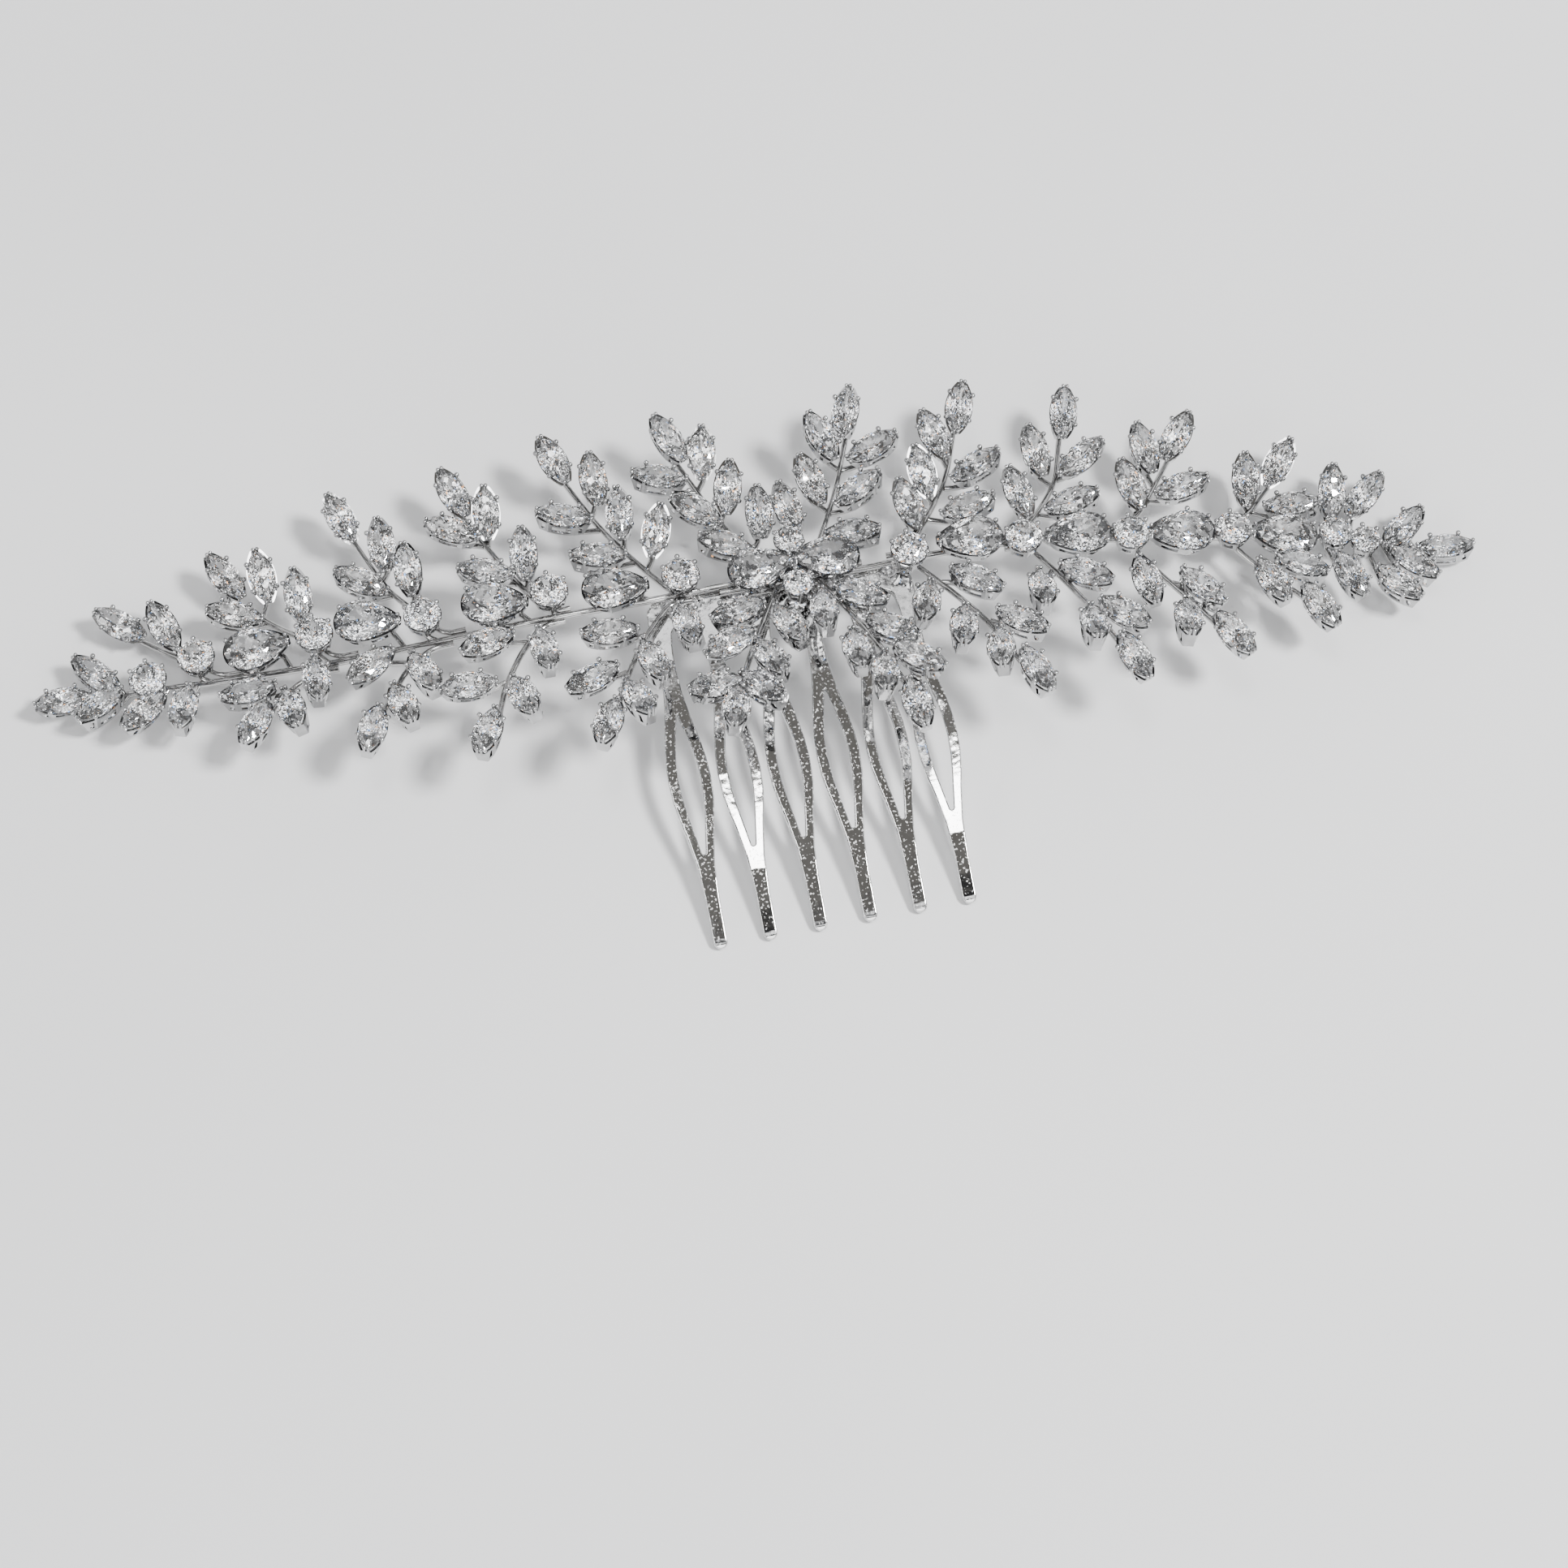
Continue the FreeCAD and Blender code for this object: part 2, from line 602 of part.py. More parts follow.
def branch(route, holder, route_wire):
    """A short wire from a route to the underside of a holder."""
    root = back_from_nearest(route, holder.wire_in, BRANCH_SETBACK)
    way = holder.wire_in - root
    start = root + way * (0.35 * route_wire / way.Length)
    return round_wire([start, holder.wire_in, holder.wire_end], STEM_WIRE)


def sprig_route(sprig, end_holder):
    """The main stem: along the spine, out through its bends and under its end leaf."""
    foot = sprig["foot"]
    inward = towards_comb(foot)
    side = math.copysign((SPINE_WIRE + STEM_WIRE) / 2, end_holder.wire_in.y - spine_side(foot))
    leave = spine_point(foot) + Vector(0, side, 0)
    points = [spine_point(foot + STEM_LIE * inward) + Vector(0, side, 0), leave]
    whole = math.hypot(end_holder.wire_in.x - leave.x, end_holder.wire_in.y - leave.y)
    for x, y in sprig["via"]:
        share = math.hypot(x - leave.x, y - leave.y) / whole
        points.append(Vector(x, y, leave.z + (end_holder.wire_in.z - leave.z) * share))
    return points + [end_holder.wire_in, end_holder.wire_end]


def build_spray(plan):
    spray = Spray()

    def set_stone(holder, stone, setting):
        spray.stones.append(holder.put(stone))
        spray.settings.append(holder.put(setting))

    for x, y, diameter in plan.get("rounds", ()):
        offset = y - spine_side(x)
        heading = math.copysign(90, offset)
        holder = spine_stone_holder(x, y, heading, 0.5 * diameter * 0.7)
        set_stone(holder, ROUND_STONES[diameter], ROUND_SETTINGS[diameter])
        if abs(offset) > SPINE_WIRE:
            spray.stems.append(branch(spine_route(x), holder, SPINE_WIRE))
    for x, y, heading in plan.get("pears", ()):
        holder = spine_stone_holder(x, y, heading, 3.0)
        set_stone(holder, PEAR_STONE, PEAR_SETTING)
        if abs(y - spine_side(x)) > SPINE_WIRE:
            spray.stems.append(branch(spine_route(x), holder, SPINE_WIRE))
    for key, at_tip in (("spine_leaves", False), ("tip_leaves", True)):
        for leaf in plan.get(key, ()):
            holder = leaf_holder(leaf, at_tip)
            set_stone(holder, MARQUISE_STONE, MARQUISE_SETTING)
            spray.stems.append(branch(spine_route(leaf[0]), holder, SPINE_WIRE))
    for sprig in plan.get("sprigs", ()):
        holders = [leaf_holder(leaf) for leaf in sprig["leaves"]]
        route = sprig_route(sprig, holders[0])
        spray.stems.append(round_wire(route, STEM_WIRE))
        for holder in holders:
            set_stone(holder, MARQUISE_STONE, MARQUISE_SETTING)
        for holder in holders[1:]:
            spray.stems.append(branch(route, holder, STEM_WIRE))
    return spray


# ----------------------------------------------------------------- comb

def mirrored_outline(right_side):
    """A closed outline from the points of its right side, top to bottom."""
    left_side = [Vector(-p.x, p.y, 0) for p in reversed(right_side)]
    return right_side + left_side


def plan_solid(wire):
    return Part.Face(wire).extrude(Vector(0, 0, SPINE_CREST + 4))


def closed_rounded_path(points, fullness):
    """A closed outline with every corner rounded by a tangent arc."""
    start = (points[-1] + points[0]) / 2
    path = rounded_path([start] + points + [start], fullness)
    return Part.Wire(path.Edges)


def tooth_plan():
    """One tooth seen from above: root, stem, open loop and straight tip."""
    outer = mirrored_outline([
        Vector(ROOT_HALF + 0.6, BAR_FRONT + 1.5, 0),
        Vector(ROOT_HALF, BAR_FRONT - 0.2, 0),
        Vector(STEM_HALF, BAR_FRONT - 3.5, 0),
        Vector(STEM_HALF + 0.1, FORK_TOP + 3.0, 0),
        Vector(LOOP_HALF, FORK_TOP - 6.5, 0),
        Vector(LOOP_HALF, FORK_BOTTOM + 7.5, 0),
        Vector(TIP_HALF, FORK_BOTTOM - 1.5, 0),
        Vector(TIP_HALF - 0.05, TOOTH_TIP, 0),
    ])
    eye = mirrored_outline([
        Vector(0.03, FORK_TOP, 0),
        Vector(EYE_HALF, FORK_TOP - 6.8, 0),
        Vector(EYE_HALF, FORK_BOTTOM + 7.8, 0),
        Vector(0.22, FORK_BOTTOM, 0),
    ])
    solid = plan_solid(closed_rounded_path(outer, 0.48))
    return solid.cut(plan_solid(closed_rounded_path(eye, 0.48)))


def bar_plan():
    corners = mirrored_outline([
        Vector(BAR_HALF_LENGTH, BAR_BACK, 0),
        Vector(BAR_HALF_LENGTH, BAR_FRONT, 0),
    ])
    solid = plan_solid(Part.Wire(Part.makePolygon(corners + [corners[0]]).Edges))
    upright = [edge for edge in solid.Edges if edge.BoundBox.ZLength > 1]
    return solid.makeFillet(BAR_CORNER, upright)


def bent_sheet():
    """The sheet metal bent down from the bar to the tooth tips."""
    half_length = BAR_HALF_LENGTH + 2
    points = [Vector(0, y, z) for y, z in SHEET_BENDS]
    way = points[1] - points[0]
    way.normalize()
    normal = Vector(0, -way.z, way.y)
    corners = [points[0] + Vector(across * half_length, 0, 0) + normal * (up * SHEET / 2)
               for across, up in ((-1, -1), (1, -1), (1, 1), (-1, 1))]
    end_face = Part.makePolygon(corners + [corners[0]])
    return rounded_path(points).makePipeShell([end_face], True, False)


def comb_solid():
    tooth = tooth_plan()
    teeth = []
    for number in range(TOOTH_COUNT):
        x = (number - (TOOTH_COUNT - 1) / 2) * TOOTH_PITCH
        teeth.append(tooth.translated(Vector(x, 0, 0)))
    plan = bar_plan().multiFuse(teeth).removeSplitter()
    return bent_sheet().common(plan)


def solder_beads(comb, wires):
    """Flattened solder beads between the spine wires and the comb's bar."""
    beads = []
    ball = (SOLDER_RADIUS ** 2 + SOLDER_HEIGHT ** 2) / (2 * SOLDER_HEIGHT)
    for x in SOLDER_PLACES:
        y = spine_side(x) - SOLDER_SHIFT
        bar_top = comb.common(Part.makeLine(Vector(x, y, 0), Vector(x, y, SPINE_CREST))).BoundBox.ZMax
        sphere = Part.makeSphere(ball, Vector(x, y, bar_top + SOLDER_HEIGHT - ball))
        above_bar = Part.makeBox(4 * ball, 4 * ball, 2 * ball,
                                 Vector(x - 2 * ball, y - 2 * ball, bar_top - SHEET / 4))
        pieces = sphere.common(above_bar).cut([comb] + wires).Solids
        beads.append(max(pieces, key=lambda piece: piece.Volume))
    return beads


# ------------------------------------------------------------- assembly

MARQUISE_STONE = faceted_stone(marquise_point, MARQUISE_CROWN, MARQUISE_PAVILION)
MARQUISE_SETTING = marquise_setting()
PEAR_STONE = faceted_stone(pear_point, PEAR_CROWN, PEAR_PAVILION)
PEAR_SETTING = pear_setting()
ROUND_STONES = {}
ROUND_SETTINGS = {}
for size in (ROUND_DIAMETER, 4.5, SMALL_ROUND_DIAMETER):
    scale = size / ROUND_DIAMETER

    def outline(turn):
        return circle_point(turn, size / 2)

    ROUND_STONES[size] = faceted_stone(outline, ROUND_CROWN * scale, ROUND_PAVILION * scale)
    ROUND_SETTINGS[size] = round_setting(size)

nodes = {}
nodes["comb"] = [comb_solid()]
nodes["spine_wire_left"] = [spine_wire(
    ((LEFT_END, 0), (-90, 0), (-77, 0), (-60, 0), (-44, 0), (-28, 0), (-18, 0), (-8, 1), (2, 1), (12, 1)), 1)]
nodes["spine_wire_right"] = [spine_wire(
    ((-8, 1), (2, 1), (12, 1), (22, 0), (39, 0), (51, 0), (62, 0), (76, 0), (RIGHT_END, 0)), -1)]
nodes["solder_joints"] = solder_beads(nodes["comb"][0], nodes["spine_wire_left"] + nodes["spine_wire_right"])
for name, plan in SPRAYS.items():
    spray = build_spray(plan)
    nodes[name + "_stems"] = spray.stems
    nodes[name + "_settings"] = spray.settings
    nodes[name + "_stones"] = spray.stones

box = FreeCAD.BoundBox()
for solids in nodes.values():
    for solid in solids:
        box.add(solid.optimalBoundingBox())
to_origin = Vector(-(box.XMin + box.XMax) / 2, -(box.YMin + box.YMax) / 2, -box.ZMin)

os.makedirs("parts", exist_ok=True)
for name, solids in nodes.items():
    moved = [solid.translated(to_origin) for solid in solids]
    shape = moved[0] if len(moved) == 1 else Part.makeCompound(moved)
    shape.exportStep(os.path.join("parts", name + ".step"))
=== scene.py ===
import math

import bmesh
import bpy
from mathutils import Matrix, Quaternion, Vector


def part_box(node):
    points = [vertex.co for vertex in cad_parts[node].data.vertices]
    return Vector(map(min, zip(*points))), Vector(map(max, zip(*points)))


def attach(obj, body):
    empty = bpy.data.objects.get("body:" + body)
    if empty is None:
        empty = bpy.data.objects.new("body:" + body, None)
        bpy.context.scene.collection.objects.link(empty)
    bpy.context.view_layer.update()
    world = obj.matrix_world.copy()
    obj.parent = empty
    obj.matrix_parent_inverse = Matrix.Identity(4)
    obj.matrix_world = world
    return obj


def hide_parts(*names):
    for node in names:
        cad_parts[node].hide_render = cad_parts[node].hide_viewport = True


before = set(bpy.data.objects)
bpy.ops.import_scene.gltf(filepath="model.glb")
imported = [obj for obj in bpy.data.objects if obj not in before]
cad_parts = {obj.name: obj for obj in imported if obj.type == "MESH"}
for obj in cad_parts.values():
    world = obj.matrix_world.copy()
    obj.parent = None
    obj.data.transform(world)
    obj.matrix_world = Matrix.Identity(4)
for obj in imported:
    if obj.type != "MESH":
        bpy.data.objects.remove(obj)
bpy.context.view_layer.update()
MM = 0.001

# The layout's origin is at the middle of the comb's bar, and the tooth tips are in front of it.
# place() turns a point of the layout, in millimetres, into the frame.
TOOTH_REACH = 48.6
comb_low, comb_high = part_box("comb")
MIDDLE_X = (comb_low.x + comb_high.x) / 2
MIDDLE_Y = comb_low.y + TOOTH_REACH * MM


def place(x, y, z=0.0):
    return Vector((MIDDLE_X + x * MM, MIDDLE_Y + y * MM, z * MM))


# ------------------------------------------------------------ materials

MIX_FIRST = 6                    # the colour sockets of a Mix node, which share their names with others
MIX_SECOND = 7
MIX_RESULT = 2


class Tree:
    """A node tree, built by short calls."""

    def __init__(self, owner):
        owner.use_nodes = True
        self.tree = owner.node_tree
        self.tree.nodes.clear()

    def add(self, kind, **settings):
        node = self.tree.nodes.new(kind)
        for key, value in settings.items():
            setattr(node, key, value)
        return node

    def link(self, source, target):
        self.tree.links.new(source, target)

    def mix(self, factor, first, second):
        """A blend of two colours, each given as three numbers or as another node's output."""
        node = self.add("ShaderNodeMix", data_type="RGBA")
        self.link(factor, node.inputs["Factor"])
        for socket, colour in ((node.inputs[MIX_FIRST], first), (node.inputs[MIX_SECOND], second)):
            if isinstance(colour, tuple):
                socket.default_value = (*colour, 1)
            else:
                self.link(colour, socket)
        return node.outputs[MIX_RESULT]

    def step(self, value, low, high):
        """A smooth step from 0 at low to 1 at high."""
        node = self.add("ShaderNodeMapRange", interpolation_type="SMOOTHSTEP")
        node.inputs["From Min"].default_value = low
        node.inputs["From Max"].default_value = high
        self.link(value, node.inputs["Value"])
        return node.outputs["Result"]


class Surface(Tree):
    """A material's tree: one Principled shader and what feeds it."""

    def __init__(self, name):
        self.material = bpy.data.materials.new(name)
        super().__init__(self.material)
        output = self.add("ShaderNodeOutputMaterial")
        self.shader = self.add("ShaderNodeBsdfPrincipled")
        self.link(self.shader.outputs["BSDF"], output.inputs["Surface"])
        geometry = self.add("ShaderNodeNewGeometry")
        self.position = geometry.outputs["Position"]
        self.normal = geometry.outputs["Normal"]

    def noise(self, scale, detail=4.0, roughness=0.55, stretch=None):
        """Noise in metres: scale is features per metre."""
        node = self.add("ShaderNodeTexNoise")
        node.inputs["Scale"].default_value = scale
        node.inputs["Detail"].default_value = detail
        node.inputs["Roughness"].default_value = roughness
        source = self.position
        if stretch:
            mapping = self.add("ShaderNodeMapping")
            mapping.inputs["Scale"].default_value = stretch
            self.link(self.position, mapping.inputs["Vector"])
            source = mapping.outputs["Vector"]
        self.link(source, node.inputs["Vector"])
        return node.outputs["Fac"]

    def ramp(self, factor, stops):
        node = self.add("ShaderNodeValToRGB")
        ramp = node.color_ramp
        while len(ramp.elements) < len(stops):
            ramp.elements.new(0.5)
        for element, (place_on_ramp, colour) in zip(ramp.elements, stops):
            element.position = place_on_ramp
            element.color = (*colour, 1) if isinstance(colour, tuple) else (colour, colour, colour, 1)
        self.link(factor, node.inputs["Fac"])
        return node.outputs["Color"]

    def scaled(self, factor, low, high):
        node = self.add("ShaderNodeMapRange")
        node.inputs["To Min"].default_value = low
        node.inputs["To Max"].default_value = high
        self.link(factor, node.inputs["Value"])
        return node.outputs["Result"]

    def bump(self, height, strength, distance, normal=None):
        node = self.add("ShaderNodeBump")
        node.inputs["Strength"].default_value = strength
        node.inputs["Distance"].default_value = distance
        self.link(height, node.inputs["Height"])
        if normal is not None:
            self.link(normal, node.inputs["Normal"])
        return node.outputs["Normal"]

    def turned_normal(self, colour, amount):
        """The surface normal, turned a little one way or another by a random colour."""
        offset = self.add("ShaderNodeVectorMath", operation="MULTIPLY_ADD")
        self.link(colour, offset.inputs[0])
        offset.inputs[1].default_value = (amount, amount, amount)
        offset.inputs[2].default_value = (-amount / 2, -amount / 2, -amount / 2)
        total = self.add("ShaderNodeVectorMath", operation="ADD")
        self.link(self.normal, total.inputs[0])
        self.link(offset.outputs["Vector"], total.inputs[1])
        unit = self.add("ShaderNodeVectorMath", operation="NORMALIZE")
        self.link(total.outputs["Vector"], unit.inputs[0])
        return unit.outputs["Vector"]


SPECK_WHITE = (0.93, 0.93, 0.92)


def plated_metal(name, bright, dull, smooth, rough, dents, specks):
    """Bright plate: cloudy tone, fine handling marks in the gloss, faint dents and perhaps white specks."""
    m = Surface(name)
    m.shader.inputs["Metallic"].default_value = 1.0
    cloud = m.noise(260, detail=5)
    tone = m.ramp(cloud, ((0.3, dull), (0.62, bright)))
    wear = m.noise(900, detail=6, roughness=0.7, stretch=(1.0, 0.35, 1.0))
    gloss = m.scaled(wear, smooth, rough)
    if specks:
        spots = m.ramp(m.noise(3000, detail=2, roughness=0.4), ((0.61, 0.0), (0.65, 1.0)))
        m.link(m.scaled(spots, 1.0, 0.25), m.shader.inputs["Metallic"])
        tone = m.mix(spots, tone, SPECK_WHITE)
    m.link(tone, m.shader.inputs["Base Color"])
    m.link(gloss, m.shader.inputs["Roughness"])
    coarse = m.bump(m.noise(420, detail=2), dents, 0.00012)
    m.link(m.bump(m.noise(5200, detail=3), dents * 0.35, 0.00002, coarse), m.shader.inputs["Normal"])
    return m.material


STONE_CUTS = 1200                # small facets per metre
STONE_CUT_TURN = 0.24            # how far a small facet is turned from the face that it lies in


def cut_stone(name):
    """Clear cut stone: polished faces split into small facets, a trace of tint and of surface film."""
    m = Surface(name)
    m.shader.inputs["Transmission Weight"].default_value = 0.96
    m.shader.inputs["IOR"].default_value = 2.1
    tint = m.ramp(m.noise(180, detail=1), ((0.35, (0.825, 0.835, 0.85)), (0.65, (0.87, 0.866, 0.858))))
    m.link(tint, m.shader.inputs["Base Color"])
    film = m.noise(1500, detail=3)
    m.link(m.scaled(film, 0.0, 0.012), m.shader.inputs["Roughness"])
    cuts = m.add("ShaderNodeTexVoronoi")
    cuts.inputs["Scale"].default_value = STONE_CUTS
    m.link(m.position, cuts.inputs["Vector"])
    m.link(m.turned_normal(cuts.outputs["Color"], STONE_CUT_TURN), m.shader.inputs["Normal"])
    return m.material


comb_metal = plated_metal("comb_plate", (0.72, 0.72, 0.72), (0.60, 0.596, 0.59), 0.02, 0.08, 0.30, True)
wire_metal = plated_metal("wire_plate", (0.60, 0.596, 0.59), (0.46, 0.456, 0.45), 0.06, 0.17, 0.20, False)
setting_metal = plated_metal("setting_plate", (0.54, 0.54, 0.545), (0.36, 0.36, 0.36), 0.03, 0.1, 0.15, False)
solder_metal = plated_metal("solder_plate", (0.72, 0.72, 0.73), (0.60, 0.60, 0.60), 0.14, 0.30, 0.45, False)
stone_glass = cut_stone("clear_stone")

for name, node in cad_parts.items():
    if name.endswith("_stones"):
        material = stone_glass
    elif name.endswith("_settings"):
        material = setting_metal
    elif name == "comb":
        material = comb_metal
    elif name == "solder_joints":
        material = solder_metal
    else:
        material = wire_metal
    node.data.materials.clear()
    node.data.materials.append(material)


# ------------------------------------------------------- rounded outlines

def rounded(points, fullness, closed, step):
    """Points along straight runs between the corners, joined by tangent arcs.

    fullness is the share of the shorter run that an arc takes; step is the most that two points lie apart.
    """
    corners = [Vector(p) for p in points]
    if closed:
        start = (corners[-1] + corners[0]) / 2
        corners = [start] + corners + [start]
    line = [corners[0]]
    for before, corner, after in zip(corners, corners[1:], corners[2:]):
        way_in = (corner - before).normalized()
        way_out = (after - corner).normalized()
        trim = fullness * min((corner - before).length, (after - corner).length)
        half_turn = way_in.angle(way_out) / 2
        if half_turn < 0.004:
            continue
        radius = trim / math.tan(half_turn)
        inward = (way_out - way_in).normalized()
        middle = corner + inward * (radius / math.cos(half_turn))
        first = corner - way_in * trim - middle
        count = max(2, int(math.ceil(2 * half_turn / math.radians(7))))
        across = way_in
        for i in range(count + 1):
            angle = 2 * half_turn * i / count
            line.append(middle + first * math.cos(angle) + across * (radius * math.sin(angle)))
    line.append(corners[-1])
    dense = []
    for a, b in zip(line, line[1:]):
        count = max(1, int(math.ceil((b - a).length / step)))
        for i in range(count):
            dense.append(a + (b - a) * (i / count))
    if not closed:
        dense.append(line[-1])
    return dense


# ----------------------------------------------------------------- comb

# In millimetres, in the layout that place() takes.
TOOTH_COUNT = 6
TOOTH_PITCH = 6.8
BAR_HALF_WIDTH = 18.3
BAR_BACK = 0.5
BAR_FRONT = -3.7
CORNER_FULLNESS = 0.48
POINT_SPACING = 0.5
SHEET = 1.05                     # thickness
SOFT_EDGE = 0.22                 # radius along every edge
FORK_TOP = -16.6                 # the ends of a tooth's eye
FORK_BOTTOM = -36.2
TOOTH_TIP = -TOOTH_REACH
NOSE = 1.1                       # length over which a tooth thins down to its tip
NOSE_LOSS = 0.9                  # 1 would thin it to nothing
NOSE_CUTS = (-48.5, -48.35, -48.2, -47.8, -47.6)    # where the flat sheet is cut across, so that it can bend
LENGTH_CUTS = range(-48, 1)
TWISTS = (-1.8, 3.2, -1.0, -0.6, -1.2, 5.0)    # degrees that each tooth is off true at its end
TWIST_START = -6.0
TWIST_LENGTH = 30.0
SHEET_BENDS = ((2.5, 9.2), (-9.0, 8.4), (-26.0, 6.05), (-39.5, 3.65), (-50.6, -0.2))    # y and height
SHEET_FULLNESS = 0.45
SHEET_SPACING = 0.25
sheet_line = rounded(SHEET_BENDS, SHEET_FULLNESS, False, SHEET_SPACING)


def sheet_at(y):
    """Height and downward slope of the sheet's middle at y."""
    for a, b in zip(sheet_line, sheet_line[1:]):
        if b.x <= y:
            break
    share = (y - a.x) / (b.x - a.x)
    return a.y + (b.y - a.y) * share, (b.y - a.y) / (b.x - a.x)


def tooth_middle(number):
    return (number - (TOOTH_COUNT - 1) / 2) * TOOTH_PITCH


def tooth_right_side():
    """Half a tooth's outline, about its own middle, from the bar to the tip."""
    root = [(1.6, -4.2), (1.1, -7.5), (1.2, FORK_TOP + 3.0)]
    fork = [(2.95, FORK_TOP - 6.5), (2.95, FORK_BOTTOM + 7.5), (0.98, FORK_BOTTOM - 1.5)]
    return root + fork + [(0.93, TOOTH_TIP)]


def comb_outline():
    """The comb's outer outline, anticlockwise from the bar's back right corner."""
    corners = [(BAR_HALF_WIDTH, BAR_BACK), (-BAR_HALF_WIDTH, BAR_BACK)]
    for number in range(TOOTH_COUNT):
        middle = tooth_middle(number)
        side = tooth_right_side()
        corners += [(middle - x, y) for x, y in side]
        corners += [(middle + x, y) for x, y in reversed(side)]
        if number < TOOTH_COUNT - 1:
            corners.append((middle + TOOTH_PITCH / 2, BAR_FRONT))
    return rounded(corners, CORNER_FULLNESS, True, POINT_SPACING)


def eye_outline(number):
    """The outline of the long hole in a tooth."""
    middle = tooth_middle(number)
    corners = [(0.03, FORK_TOP), (1.46, FORK_TOP - 6.8), (1.46, FORK_BOTTOM + 7.8), (0.22, FORK_BOTTOM)]
    outline = [(middle - x, y) for x, y in corners] + [(middle + x, y) for x, y in reversed(corners)]
    return rounded(outline, CORNER_FULLNESS, True, POINT_SPACING)


def outward_normals(points):
    """Unit normals that point to the left of the direction of travel's reverse: out of the metal."""
    normals = []
    for i, point in enumerate(points):
        way = (points[(i + 1) % len(points)] - points[i - 1]).normalized()
        normals.append(Vector((way.y, -way.x)))
    return normals


def signed_area(points):
    return sum(a.x * b.y - a.y * b.x for a, b in zip(points, points[1:] + points[:1])) / 2


def flat_metal(outer, holes):
    """A flat sheet with softened rims: rings of points round each outline, capped above and below.

    Each point also keeps the direction that its surface faces, for exact shading once the sheet is bent.
    """
    bm = bmesh.new()
    outward = bm.verts.layers.float_vector.new("outward")
    profile = []
    for i in range(5):
        angle = math.radians(90 * i / 4)
        profile.append((-SOFT_EDGE * (1 - math.sin(angle)), SHEET / 2 - SOFT_EDGE * (1 - math.cos(angle)),
                        math.sin(angle), math.cos(angle)))
    profile += [(inset, -height, side, -top) for inset, height, side, top in reversed(profile)]
    tops = []
    bottoms = []
    for points, is_hole in [(outer, False)] + [(hole, True) for hole in holes]:
        if (signed_area(points) > 0) == is_hole:
            points = list(reversed(points))
        normals = outward_normals(points)
        rings = []
        for inset, height, side, top in profile:
            ring = []
            for p, n in zip(points, normals):
                vert = bm.verts.new((p.x + n.x * inset, p.y + n.y * inset, height))
                vert[outward] = (n.x * side, n.y * side, top)
                ring.append(vert)
            rings.append(ring)
        for upper, lower in zip(rings, rings[1:]):
            for i in range(len(points)):
                j = (i + 1) % len(points)
                bm.faces.new((upper[i], lower[i], lower[j], upper[j]))
        tops.append(rings[0])
        bottoms.append(rings[-1])
    for loops in (tops, bottoms):
        edges = []
        for ring in loops:
            for i in range(len(ring)):
                edges.append(bm.edges.get((ring[i], ring[(i + 1) % len(ring)])))
        bmesh.ops.triangle_fill(bm, use_beauty=True, use_dissolve=False, edges=edges)
    for y in (*NOSE_CUTS, *LENGTH_CUTS):
        bmesh.ops.bisect_plane(bm, geom=bm.verts[:] + bm.edges[:] + bm.faces[:], dist=1e-5,
                               plane_co=(0, y, 0), plane_no=(0, 1, 0))
    bmesh.ops.remove_doubles(bm, verts=bm.verts[:], dist=1e-4)
    bmesh.ops.recalc_face_normals(bm, faces=bm.faces[:])
    return bm, outward


def comb_piece():
    """The comb with softened edges: cut out flat, then bent down to the tips, each tooth twisted a little."""
    bm, outward = flat_metal(comb_outline(), [eye_outline(number) for number in range(TOOTH_COUNT)])
    normals = []
    for vert in bm.verts:
        x, y, up = vert.co
        number = min(max(round((x - tooth_middle(0)) / TOOTH_PITCH), 0), TOOTH_COUNT - 1)
        middle = tooth_middle(number)
        freedom = min(max((TWIST_START - y) / TWIST_LENGTH, 0.0), 1.0)
        lean = math.radians(TWISTS[number]) * freedom
        past = min(max((TOOTH_TIP + NOSE - y) / NOSE, 0.0), 1.0)
        nose = math.sqrt(1 - NOSE_LOSS * past ** 2)
        up *= nose
        height, slope = sheet_at(y)
        along = Vector((0, 1, slope)).normalized()
        normal = Vector((0, -slope, 1)).normalized()
        height += (x - middle) * math.sin(lean)
        vert.co = place(x - up * math.sin(lean), y + normal.y * up, height + normal.z * up)
        sideways, forwards, top = vert[outward]
        forwards -= SHEET / 2 * NOSE_LOSS * past / (NOSE * nose)
        facing = Vector((sideways, 0, 0)) + along * forwards + normal * top
        facing.rotate(Quaternion((0, 1, 0), -lean))
        normals.append(facing.normalized())
    mesh = bpy.data.meshes.new("comb_metal")
    bm.to_mesh(mesh)
    bm.free()
    for polygon in mesh.polygons:
        polygon.use_smooth = True
    mesh.normals_split_custom_set_from_vertices(normals)
    mesh.materials.append(comb_metal)
    piece = bpy.data.objects.new("comb_metal", mesh)
    bpy.context.scene.collection.objects.link(piece)
    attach(piece, "root")
    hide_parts("comb")


comb_piece()

# ---------------------------------------------------------------- stage

def floor():
    mesh = bpy.data.meshes.new("floor")
    reach = 6.0
    mesh.from_pydata([(-reach, -reach, 0), (reach, -reach, 0), (reach, reach, 0), (-reach, reach, 0)], [],
                     [(0, 1, 2, 3)])
    m = Surface("pale_floor")
    cloud = m.noise(7, detail=2)
    tone = m.ramp(cloud, ((0.3, (0.80, 0.802, 0.808)), (0.7, (0.86, 0.862, 0.866))))
    m.link(tone, m.shader.inputs["Base Color"])
    m.shader.inputs["Roughness"].default_value = 0.6
    m.shader.inputs["Specular IOR Level"].default_value = 0.35
    mesh.materials.append(m.material)
    obj = bpy.data.objects.new("floor", mesh)
    obj.location.z = -0.0001
    bpy.context.scene.collection.objects.link(obj)


LIGHT_AIM = (0, -10, 8)


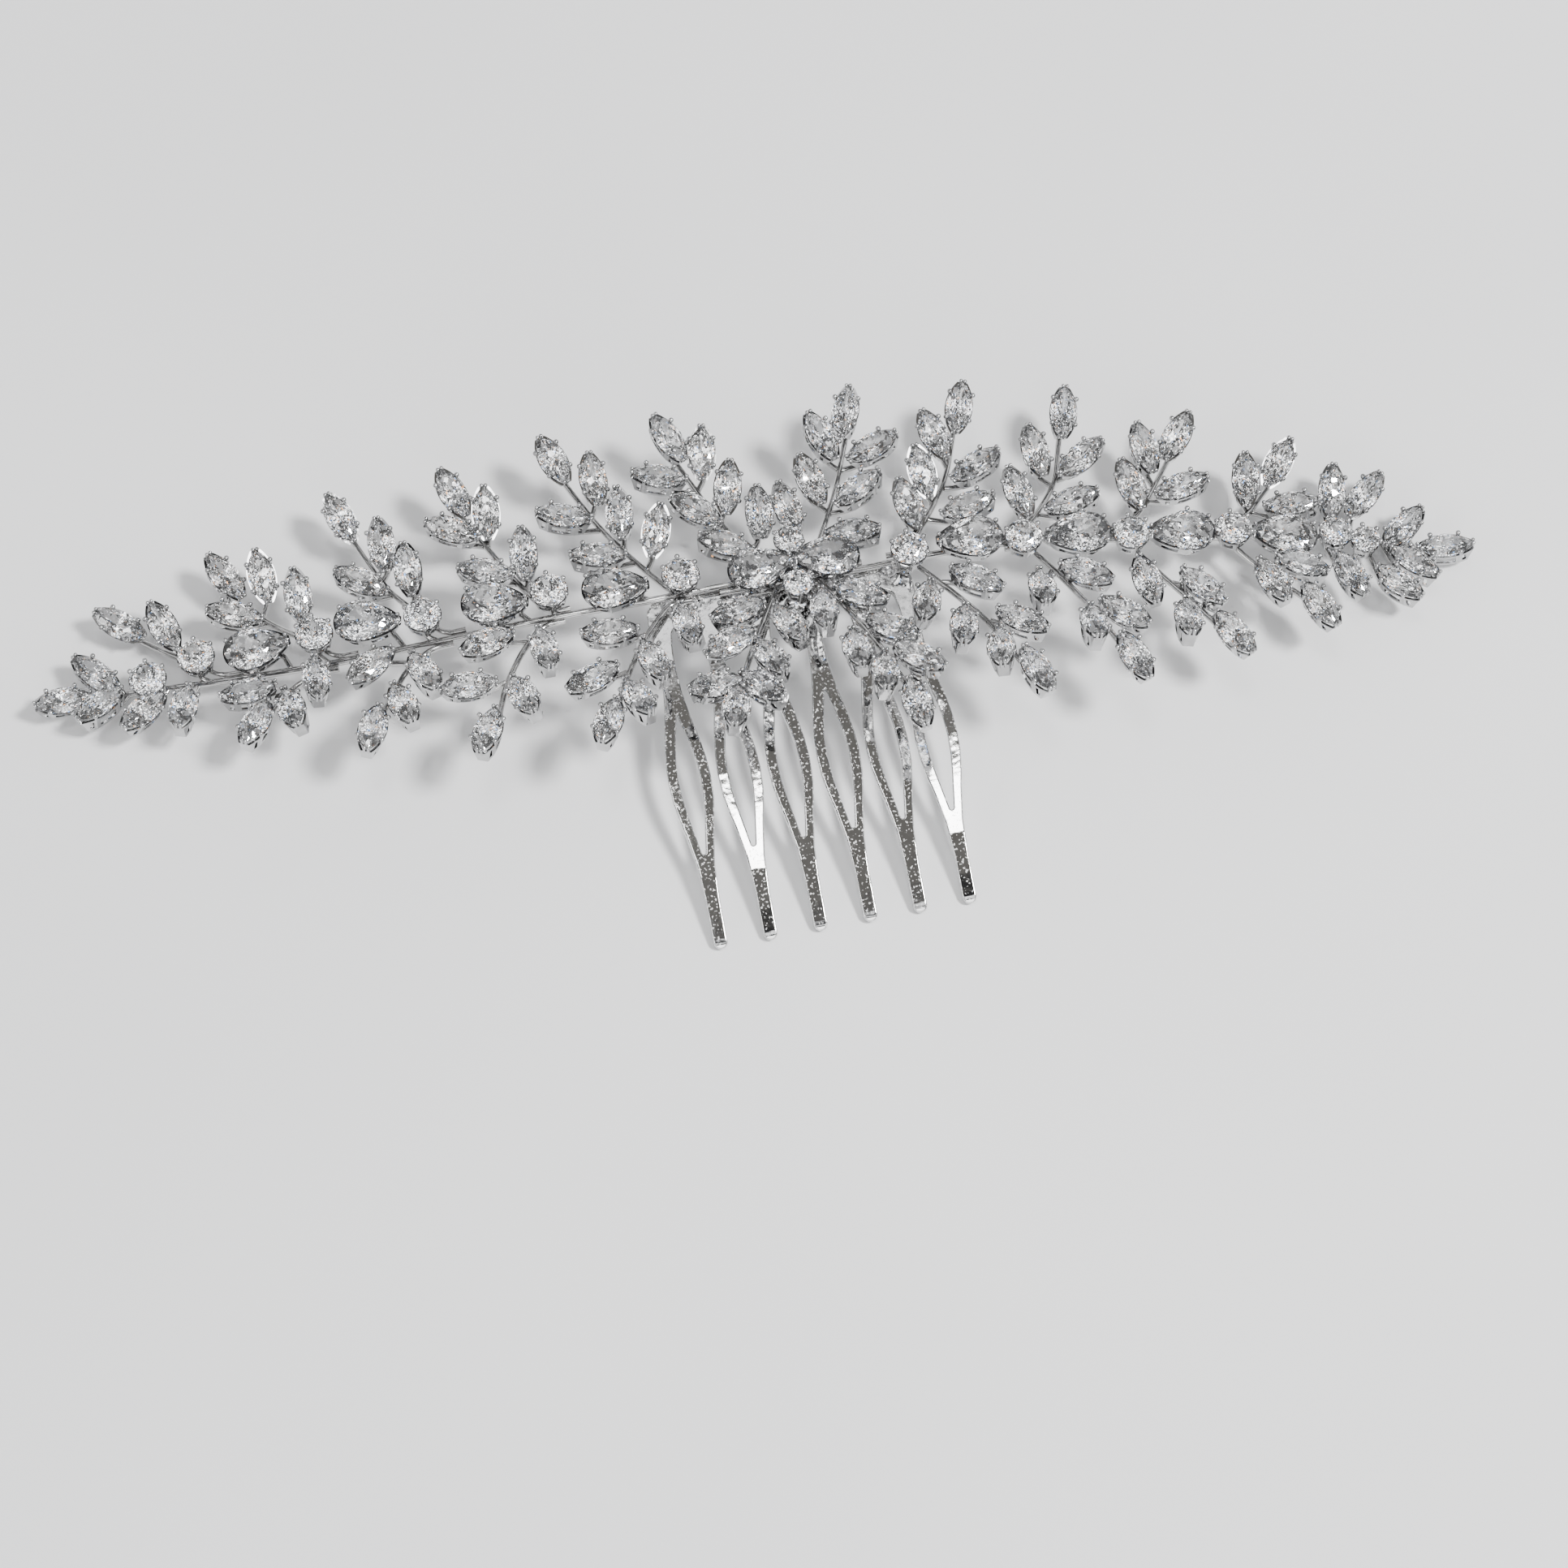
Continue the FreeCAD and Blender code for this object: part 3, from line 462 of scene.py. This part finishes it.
def softbox(name, azimuth, elevation, distance, width, height, power):
    """A soft white rectangular light aimed at the middle of the object; azimuth 0 is behind the camera."""
    a = math.radians(azimuth)
    e = math.radians(elevation)
    back = Vector((math.sin(a) * math.cos(e), -math.cos(a) * math.cos(e), math.sin(e)))
    light = bpy.data.lights.new(name, "AREA")
    light.shape = "RECTANGLE"
    light.size = width
    light.size_y = height
    light.energy = power
    obj = bpy.data.objects.new(name, light)
    obj.location = place(*LIGHT_AIM) + back * distance
    obj.rotation_mode = "QUATERNION"
    obj.rotation_quaternion = (-back).to_track_quat("-Z", "Y")
    bpy.context.scene.collection.objects.link(obj)


WORLD_PATCHES = 5.0
PATCH_LOW = 0.515                # the noise between these two goes from a dim patch to a bright one
PATCH_HIGH = 0.575
WORLD_DIM = (0.04, 0.04, 0.042)
WORLD_BRIGHT = (1.85, 1.86, 1.88)
STONE_DIM = (0.012, 0.012, 0.013)    # the same patches, as the stones show them
STONE_BRIGHT = (6.2, 6.22, 6.27)
FIRE_CELLS = 11.0
FIRE = ((0, 0.975, (6.0, 2.8, 1.1)), (1, 0.98, (1.1, 2.6, 6.0)))    # channel, rarity and colour of each glint
DISC_MIDDLE = Vector((0.09, 0.0, 1.0))
DISC_EDGE = 18                   # degrees from its middle, where the dim disc begins and where it is full
DISC_FULL = 13
DISC_TONE = (0.20, 0.193, 0.182)
BACKDROP = (0.78, 0.785, 0.80)


def studio_world():
    """Pale room: broad bright and dim patches overhead, a dim disc straight up, a few coloured glints."""
    world = bpy.data.worlds.new("studio")
    w = Tree(world)
    direction = w.add("ShaderNodeTexCoord").outputs["Generated"]
    noise = w.add("ShaderNodeTexNoise")
    noise.inputs["Scale"].default_value = WORLD_PATCHES
    noise.inputs["Detail"].default_value = 2.0
    w.link(direction, noise.inputs["Vector"])
    patch = w.step(noise.outputs["Fac"], PATCH_LOW, PATCH_HIGH)
    room = w.mix(patch, WORLD_DIM, WORLD_BRIGHT)

    cells = w.add("ShaderNodeTexVoronoi")
    cells.inputs["Scale"].default_value = FIRE_CELLS
    w.link(direction, cells.inputs["Vector"])
    pick = w.add("ShaderNodeSeparateColor")
    w.link(cells.outputs["Color"], pick.inputs["Color"])
    fire = w.mix(patch, STONE_DIM, STONE_BRIGHT)
    for channel, rarity, colour in FIRE:
        chosen = w.add("ShaderNodeMath", operation="GREATER_THAN")
        w.link(pick.outputs[channel], chosen.inputs[0])
        chosen.inputs[1].default_value = rarity
        fire = w.mix(chosen.outputs[0], fire, colour)
    rays = w.add("ShaderNodeLightPath")
    room = w.mix(rays.outputs["Is Transmission Ray"], room, fire)

    overhead = w.add("ShaderNodeVectorMath", operation="DOT_PRODUCT")
    overhead.inputs[1].default_value = DISC_MIDDLE.normalized()
    w.link(direction, overhead.inputs[0])
    edge, full = (math.cos(math.radians(angle)) for angle in (DISC_EDGE, DISC_FULL))
    disc = w.step(overhead.outputs["Value"], edge, full)
    room = w.mix(disc, room, DISC_TONE)

    room = w.mix(rays.outputs["Is Camera Ray"], room, BACKDROP)
    background = w.add("ShaderNodeBackground")
    w.link(room, background.inputs["Color"])
    output = w.add("ShaderNodeOutputWorld")
    w.link(background.outputs["Background"], output.inputs["Surface"])
    bpy.context.scene.world = world


def studio():
    """A key from the front right, a light overhead that two teeth mirror, dim fills in front and at left."""
    floor()
    softbox("key", 62, 58, 1.3, 0.24, 0.22, 24.0)
    softbox("top", 259, 87.4, 1.2, 0.22, 0.22, 2.4)
    softbox("front", 0, 27, 1.2, 0.50, 0.60, 3.3)
    softbox("left", -75, 35, 1.3, 0.40, 0.30, 2.4)
    studio_world()


CAMERA_ELEVATION = 64            # degrees
CAMERA_AZIMUTH = -10.5
CAMERA_ROLL = 0.7
CAMERA_DISTANCE = 0.45
CAMERA_LENS = 77.1
CAMERA_AIM = (-4.8, -29.77, 8)


def camera():
    """Looks down steeply, from a little to the left, rolled a little."""
    elevation = math.radians(CAMERA_ELEVATION)
    azimuth = math.radians(CAMERA_AZIMUTH)
    roll = math.radians(CAMERA_ROLL)
    back = Vector((math.sin(azimuth) * math.cos(elevation), -math.cos(azimuth) * math.cos(elevation),
                   math.sin(elevation)))
    right = Vector((math.cos(azimuth), math.sin(azimuth), 0))
    up = back.cross(right)
    turned_right = right * math.cos(roll) - up * math.sin(roll)
    turned_up = right * math.sin(roll) + up * math.cos(roll)
    data = bpy.data.cameras.new("camera")
    data.sensor_width = 36
    data.lens = CAMERA_LENS
    data.clip_start = 0.02
    obj = bpy.data.objects.new("camera", data)
    rotation = Matrix((turned_right, turned_up, back)).transposed()
    position = place(*CAMERA_AIM) + back * CAMERA_DISTANCE
    obj.matrix_world = Matrix.Translation(position) @ rotation.to_4x4()
    bpy.context.scene.collection.objects.link(obj)
    bpy.context.scene.camera = obj


studio()
camera()
